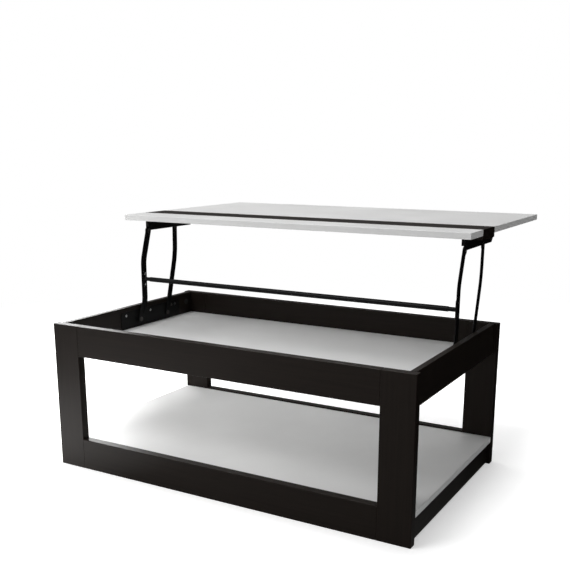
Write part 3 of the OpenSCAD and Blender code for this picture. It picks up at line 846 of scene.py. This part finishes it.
tube = np.array([
    [-BAR_END, BAR_RADIUS - BAR_WALL], [-BAR_END, BAR_RADIUS - BAR_SOFT],
    [-BAR_END + BAR_SOFT, BAR_RADIUS], [BAR_END - BAR_SOFT, BAR_RADIUS],
    [BAR_END, BAR_RADIUS - BAR_SOFT], [BAR_END, BAR_RADIUS - BAR_WALL]])
make_piece("cross_bar_tube", [turned(tube[:, 0], tube[:, 1], BAR, wrap_rows=True, around=40)],
           "cross_bar", "front_arms", [coated_steel])
bead = np.linspace(0.0, math.pi / 2, 5)
weld = np.stack([
    BAR_PLATE_IN - WELD * (1 - np.sin(bead)), STUD_RADIUS + WELD * (1 - np.cos(bead))], axis=1)
stud = turned_rows([
    flat_end(BAR_END - STUD_IN_TUBE, STUD_RADIUS, -1.0), weld,
    [[BAR_PLATE_IN + BAR_SOFT, STUD_RADIUS + WELD], [BAR_PLATE_IN + BAR_SOFT, 0.0]]], BAR)
bar_plate = stamped(
    rounded_outline(BAR, BAR_PLATE, BAR_PLATE_CORNER, BAR_RUN), BAR_PLATE_IN, ARM_IN)
for side, plate, pin in zip(("right", "left"), both_hands([bar_plate]), both_hands([stud])):
    make_piece(side + "_bar_bracket_sheet", [plate, pin], side + "_bar_bracket", "front_arms",
               [coated_steel])
bar_rivet_parts = [
    rivet(BAR + away * BAR_RIVET_AWAY * BAR_RUN, (BAR_PLATE_IN, *BAR_RIVET_HEAD),
          [[BAR_PLATE_IN, BAR_RIVET_SHANK], [ARM_OUT, BAR_RIVET_SHANK]],
          (ARM_OUT, *BAR_RIVET_TAIL))
    for away in (-1.0, 1.0)]
make_piece("bar_plate_rivets", both_hands(bar_rivet_parts), "bar_rivets", "front_arms",
           [bright_steel])
print("cross bar at, mm from the front:", ((BAR - [FRONT_Y, 0.0]) / MM).round(1))

# %% [markdown]
# Each top bracket is one folded sheet. Its web hangs on edge, is notched round the beam and
# bulges round its two rivets; three tabs fold inwards under the three boards, and the front
# end folds inwards too, which stiffens it just above the arm.

# %% Top brackets
TOP_Z = span("main_board", 2)[0]
BEAM_Y = span("stripe_beam", 1)
BEAM_Z = span("stripe_beam", 2)[0]
WEB_LEAD = 6.0 * MM
WEB_LENGTH = 223.0 * MM
WEB_HEIGHT = 32.5 * MM
WEB_CHAMFER = 12.0 * MM
NOTCH_GAP = 0.5 * MM
FRONT_LOBE = 10.5 * MM
REAR_LOBE = 8.0 * MM
TAB_WIDTH = 20.0 * MM
TAB_MARGIN = 4.0 * MM
TAB_END = 1.0 * MM
RETURN_WIDTH = 8.8 * MM
RETURN_RISE = 11.5 * MM
TUCK = 0.1 * MM

web_front = TOP_FRONT_PIVOT[0] - WEB_LEAD
web_back = web_front + WEB_LENGTH
web_low = TOP_Z - WEB_HEIGHT
rear_drop = web_low - TOP_REAR_PIVOT[1]
front_drop = web_low - TOP_FRONT_PIVOT[1]
rear_from = 180 - math.degrees(math.asin(rear_drop / REAR_LOBE))
front_from = 90 + math.degrees(math.asin(WEB_LEAD / FRONT_LOBE))
front_to = 360 + math.degrees(math.asin(front_drop / FRONT_LOBE))
web_outline = np.vstack([
    arc(TOP_REAR_PIVOT, REAR_LOBE, rear_from, 540 - rear_from),
    [[web_back - WEB_CHAMFER, web_low], [web_back, web_low + WEB_CHAMFER]],
    [[web_back, TOP_Z - TUCK], [BEAM_Y[1] + NOTCH_GAP, TOP_Z - TUCK]],
    [[BEAM_Y[1] + NOTCH_GAP, BEAM_Z - TUCK], [BEAM_Y[0] - NOTCH_GAP, BEAM_Z - TUCK]],
    [[BEAM_Y[0] - NOTCH_GAP, TOP_Z - TUCK], [web_front + TUCK, TOP_Z - TUCK]],
    [[web_front + TUCK, TOP_FRONT_PIVOT[1] + FRONT_LOBE]],
    arc(TOP_FRONT_PIVOT, FRONT_LOBE, front_from, front_to)])
tabs = [
    (web_front + TAB_END, BEAM_Y[0] - TAB_MARGIN, TOP_Z),
    (BEAM_Y[0] + TAB_MARGIN, BEAM_Y[1] - TAB_MARGIN, BEAM_Z),
    (BEAM_Y[1] + TAB_MARGIN, web_back - TAB_END, TOP_Z)]
tab_boxes = [
    ((WEB_IN - TAB_WIDTH, a, z - WEB_THICK), (WEB_OUT - WEB_THICK / 2, b, z)) for a, b, z in tabs]
fold_box = ((WEB_OUT - RETURN_WIDTH, web_front, TOP_FRONT_PIVOT[1] + RETURN_RISE),
            (WEB_OUT - WEB_THICK / 2, web_front + WEB_THICK, TOP_Z - TUCK))
bracket = [stamped(web_outline, WEB_IN, WEB_OUT)] + [
    softened_box(*box, STAMPED_EDGE)[0] for box in tab_boxes + [fold_box]]
for side, sheet in zip(("right", "left"), both_hands([joined(bracket)])):
    make_piece(side + "_top_bracket_sheet", [sheet], side + "_top_bracket", "tabletop",
               [coated_steel])
print("top bracket, mm long and high:", round(WEB_LENGTH / MM, 1), round(WEB_HEIGHT / MM, 1))

# %% [markdown]
# Two screws go up through each longer tab and one through the short tab at the front. The rear
# rivet has a flush head, because the front arm folds past it; the front one can stand proud.

# %% Screws and rivets of the top brackets
SCREW_FROM_TAB_END = 14.0 * MM
TAB_SCREW_LENGTH = 11.4 * MM
strip_tab, beam_tab, main_tab = tabs
screw_places = [((strip_tab[0] + strip_tab[1]) / 2, TOP_Z)] + [
    (y, z) for a, b, z in (beam_tab, main_tab)
    for y in (a + SCREW_FROM_TAB_END, b - SCREW_FROM_TAB_END)]
tab_screws = [
    wood_screw((WEB_IN - TAB_WIDTH / 2, y), 2, z - WEB_THICK, -1.0, WEB_THICK,
               TAB_SCREW_LENGTH)
    for y, z in screw_places]
make_piece("tab_screws", both_hands(tab_screws), "top_bracket_screws", "tabletop",
           [bright_steel])
FLUSH_HEAD = 4.6 * MM
REAR_SHANK = 3.5 * MM
TAIL_LIP = 1.0 * MM
TAIL_HEIGHT = 1.2 * MM
rear_tail = REAR_OUT + RUNNING
top_front = rivet(
    TOP_FRONT_PIVOT, (ARM_IN - RUNNING, *HEAD),
    [[ARM_IN - RUNNING, SHANK], [WEB_OUT, SHANK]], (WEB_OUT, SHANK + TAIL_LIP, TAIL_HEIGHT))
top_rear = turned_rows([
    flat_end(WEB_IN - TUCK, FLUSH_HEAD, -1.0, TUCK), [[WEB_OUT, REAR_SHANK]],
    [[rear_tail, REAR_SHANK]],
    domed(rear_tail, REAR_SHANK + TAIL_LIP, TAIL_HEIGHT, 1.0)[::-1]], TOP_REAR_PIVOT)
make_piece("top_front_pivots", both_hands([top_front]), "top_front_rivets", "tabletop",
           [dull_steel])
make_piece("top_rear_pivots", both_hands([top_rear]), "top_rear_rivets", "tabletop",
           [dull_steel])
print("rivets and screws made")

# %% [markdown]
# The hidden fittings keep the shapes of their solids and get their own materials, because
# they show when the table is taken apart: beech dowels, cast cams and their black caps.

# %% Finishes for the solids that keep their shape
KEPT = {
    "cam_caps": cap_plastic, "cam_fittings": cast_zinc,
    "frame_dowels": beech, "panel_dowels": beech, "top_dowels": beech,
}
for node, material in KEPT.items():
    solid = frame["nodes"][node]
    solid.data.materials.clear()
    solid.data.materials.append(material)
print("solids that keep their shape:", len(KEPT))

# %% [markdown]
# The set starts with a white floor that runs out to a white background. The floor glows a little,
# which washes out the lamps' shadows, and glows less where the table stands close: that dimming is
# painted contact shade, so the soft contact shadow on it is partly the lamps' shadow and partly
# painted shadow. Glossy rays find a painted pool of light on the floor in front of the table's left
# end, and less and less light to the right: the dark boards show it as a painted reflection, and
# the dimness keeps them black.

# %% Floor
FLOOR_RADIUS = 9.0
FLOOR_WHITE = 0.82
FLOOR_BOUNCE = 0.08
# Glowing at the table's outline and beyond its reach: the weaker glowing close to the table paints
# contact shade.
FLOOR_GLOW_WITH_PAINTED_SHADE = (0.47, 0.90)
PAINTED_SHADE_REACH = 0.19
FLOOR_FADE = (0.9, 2.6)
TABLE_HALF = (0.50, 0.445)
# The floor's glowing to glossy rays: a painted pool of light at the left front and a painted
# reflection that fades to the right and to the back.
PAINTED_POOL_PLACE = (-0.75, -0.72, 0.0)
PAINTED_POOL_GLOW = (2.9, 0.0)
PAINTED_POOL_EDGE = (0.20, 0.55)
PAINTED_REFLECTION_GLOW = (0.62, 0.03)
PAINTED_REFLECTION_FADE = (-0.9, 0.75)
PAINTED_REFLECTION_BACK = (-0.5, 0.2)
PAINTED_REFLECTION_DEPTH = (1.0, 0.05)


def math_node(tree, operation, first, second):
    """The sum, product or other result of two values."""
    node = tree.nodes.new("ShaderNodeMath")
    node.operation = operation
    for socket, value in zip(node.inputs, (first, second)):
        if isinstance(value, float):
            socket.default_value = value
        else:
            tree.links.new(value, socket)
    return node.outputs["Value"]


def vector_node(tree, operation, first, second=None):
    """A vector operation on a vector and, where it needs one, a fixed vector."""
    node = tree.nodes.new("ShaderNodeVectorMath")
    node.operation = operation
    tree.links.new(first, node.inputs[0])
    if second is not None:
        node.inputs[1].default_value = second
    return node.outputs["Value" if operation in ("LENGTH", "DISTANCE") else "Vector"]


def shader_node(tree, kind, socket, value):
    """A shader with one socket set to a value, or linked where the value is an output."""
    node = tree.nodes.new(kind)
    if isinstance(value, (float, tuple)):
        node.inputs[socket].default_value = value
    else:
        tree.links.new(value, node.inputs[socket])
    return node.outputs[0]


def mix_shaders(tree, factor, first, second):
    """The first shader where the factor is 0 and the second where it is 1."""
    node = tree.nodes.new("ShaderNodeMixShader")
    tree.links.new(factor, node.inputs[0])
    tree.links.new(first, node.inputs[1])
    tree.links.new(second, node.inputs[2])
    return node.outputs[0]


def add_shaders(tree, first, second):
    """The sum of two shaders."""
    node = tree.nodes.new("ShaderNodeAddShader")
    tree.links.new(first, node.inputs[0])
    tree.links.new(second, node.inputs[1])
    return node.outputs[0]


def floor_finish():
    """A white floor. To the camera it is lit white plus glowing that grows with the distance from
    the table's outline, so the dimmer floor close to the table is painted contact shade, and plain
    white far away. To glossy rays it only
    glows: a painted pool of light in front of the left end and a painted reflection that fades to
    the right and back."""
    made = bpy.data.materials.new("white_floor")
    made.use_nodes = True
    tree = made.node_tree
    tree.nodes.clear()
    out = tree.nodes.new("ShaderNodeOutputMaterial")
    place = tree.nodes.new("ShaderNodeTexCoord").outputs["Object"]
    path = tree.nodes.new("ShaderNodeLightPath")
    beyond = vector_node(tree, "SUBTRACT", vector_node(tree, "ABSOLUTE", place), (*TABLE_HALF, 0.0))
    clear = vector_node(tree, "LENGTH", vector_node(tree, "MAXIMUM", beyond, (0.0, 0.0, 0.0)))
    # Less glowing near the table paints a contact shadow on the floor.
    painted_shade_glow = remap(tree, clear, *FLOOR_GLOW_WITH_PAINTED_SHADE, 0.0, PAINTED_SHADE_REACH)
    lit = shader_node(tree, "ShaderNodeBsdfDiffuse", "Color", (FLOOR_WHITE,) * 3 + (1.0,))
    near = add_shaders(tree, lit, shader_node(tree, "ShaderNodeEmission", "Strength", painted_shade_glow))
    bounce = add_shaders(
        tree, lit, shader_node(tree, "ShaderNodeEmission", "Strength", FLOOR_BOUNCE))
    plain = shader_node(tree, "ShaderNodeEmission", "Strength", 1.0)
    far = remap(tree, vector_node(tree, "LENGTH", place), 0.0, 1.0, *FLOOR_FADE)
    to_camera = mix_shaders(tree, far, near, plain)
    split = tree.nodes.new("ShaderNodeSeparateXYZ")
    tree.links.new(place, split.inputs["Vector"])
    # A painted pool of light and a painted reflection, seen only by glossy rays.
    painted_pool = remap(tree, vector_node(tree, "DISTANCE", place, PAINTED_POOL_PLACE), *PAINTED_POOL_GLOW, *PAINTED_POOL_EDGE)
    painted_reflection_rest = math_node(
        tree, "MULTIPLY", remap(tree, split.outputs["X"], *PAINTED_REFLECTION_GLOW, *PAINTED_REFLECTION_FADE),
        remap(tree, split.outputs["Y"], *PAINTED_REFLECTION_DEPTH, *PAINTED_REFLECTION_BACK))
    painted_reflection = shader_node(
        tree, "ShaderNodeEmission", "Strength", math_node(tree, "ADD", painted_pool, painted_reflection_rest))
    unseen = mix_shaders(tree, path.outputs["Is Glossy Ray"], bounce, painted_reflection)
    shown = mix_shaders(tree, path.outputs["Is Camera Ray"], unseen, to_camera)
    tree.links.new(shown, out.inputs["Surface"])
    return made


rings = np.linspace(0.0, FLOOR_RADIUS, 4)
turns = np.linspace(0.0, 2 * math.pi, 48, endpoint=False)
floor_points = np.stack([
    rings[:, None] * np.cos(turns), rings[:, None] * np.sin(turns),
    np.zeros((len(rings), len(turns)))], axis=-1)
floor_mesh = bpy.data.meshes.new("floor")
floor_mesh.from_pydata(
    floor_points.reshape(-1, 3).tolist(), [],
    grid_faces(len(rings), len(turns), wrap_columns=True).tolist())
floor_mesh.materials.append(floor_finish())
floor = bpy.data.objects.new("floor", floor_mesh)
bpy.context.scene.collection.objects.link(floor)
print("floor, m across:", 2 * FLOOR_RADIUS)

# %% [markdown]
# The background is white to the camera, but in an all-white room the boards would look grey,
# because a laminate mirrors its surroundings at a flat angle. So the world is dim to glossy
# rays near the horizon, and gives only a low light from all round.

# %% Background
ROUND_LIGHT = (0.30, 0.14)
GLOSSY_HIGH = (0.03, 0.80)
GLOSSY_RISE = (0.31, 0.62)
GLOSSY_LEFT = (1.0, 0.10)
GLOSSY_TURN = (-0.2, 0.25)


def set_background():
    """White to the camera; to glossy rays dim near the horizon and on the right and brighter
    higher up; to everything else a dim light that falls off from left to right."""
    world = bpy.data.worlds.new("studio")
    world.use_nodes = True
    bpy.context.scene.world = world
    tree = world.node_tree
    shade = tree.nodes["Background"]
    path = tree.nodes.new("ShaderNodeLightPath")
    split = tree.nodes.new("ShaderNodeSeparateXYZ")
    tree.links.new(
        tree.nodes.new("ShaderNodeTexCoord").outputs["Generated"], split.inputs["Vector"])
    high = remap(tree, split.outputs["Z"], *GLOSSY_HIGH, *GLOSSY_RISE)
    leftward = remap(tree, split.outputs["X"], *GLOSSY_LEFT, *GLOSSY_TURN)
    mixed = tree.nodes.new("ShaderNodeMix")
    tree.links.new(
        remap(tree, split.outputs["X"], *ROUND_LIGHT, -1.0, 1.0), mixed.inputs["A"])
    tree.links.new(math_node(tree, "MULTIPLY", high, leftward), mixed.inputs["B"])
    tree.links.new(path.outputs["Is Glossy Ray"], mixed.inputs["Factor"])
    through = math_node(
        tree, "MAXIMUM", path.outputs["Is Camera Ray"], path.outputs["Is Transmission Ray"])
    seen = tree.nodes.new("ShaderNodeMix")
    seen.inputs["B"].default_value = 1.0
    tree.links.new(through, seen.inputs["Factor"])
    tree.links.new(mixed.outputs["Result"], seen.inputs["A"])
    tree.links.new(seen.outputs["Result"], shade.inputs["Strength"])
    shade.inputs["Color"].default_value = (1.0, 1.0, 1.0, 1.0)


set_background()
print("light from all round, left and right:", ROUND_LIGHT)

# %% [markdown]
# Four large soft lamps: one in front and to the left, one overhead, a low one on the left that
# reaches the shelf under the compartment, and a weak one behind that shines in under the
# raised top. The last stays out of the reflections, because it would flare on the tabletop.

# %% Lamps
def soft_lamp(name, place, target, size, watts):
    """A rectangular area lamp at a place, turned to face a target. Its heading is the angle
    of the way there in plan, and its tilt the angle from straight down."""
    lamp = bpy.data.lights.new(name, "AREA")
    lamp.shape = "RECTANGLE"
    lamp.size, lamp.size_y = size
    lamp.energy = watts
    holder = bpy.data.objects.new(name, lamp)
    holder.location = place
    aim = np.array(target) - np.array(place)
    heading = math.atan2(aim[1], aim[0]) - math.pi / 2
    tilt = math.atan2(math.hypot(aim[0], aim[1]), -aim[2])
    holder.rotation_euler = (tilt, 0.0, heading)
    bpy.context.scene.collection.objects.link(holder)
    return holder


soft_lamp("key", (-1.1, -2.1, 2.6), (0.0, 0.0, 0.4), (1.4, 1.4), 39.0)
soft_lamp("overhead", (-0.4, 0.2, 3.0), (0.0, 0.0, 0.4), (2.2, 2.2), 44.0)
soft_lamp("low_left", (-1.9, 0.25, 0.50), (0.0, 0.0, 0.10), (2.0, 0.6), 40.0)
back = soft_lamp("back", (-0.9, 2.4, 1.35), (0.0, 0.1, 0.3), (2.6, 0.8), 11.0)
back.visible_glossy = False
print("lamps:", len(bpy.data.lights))
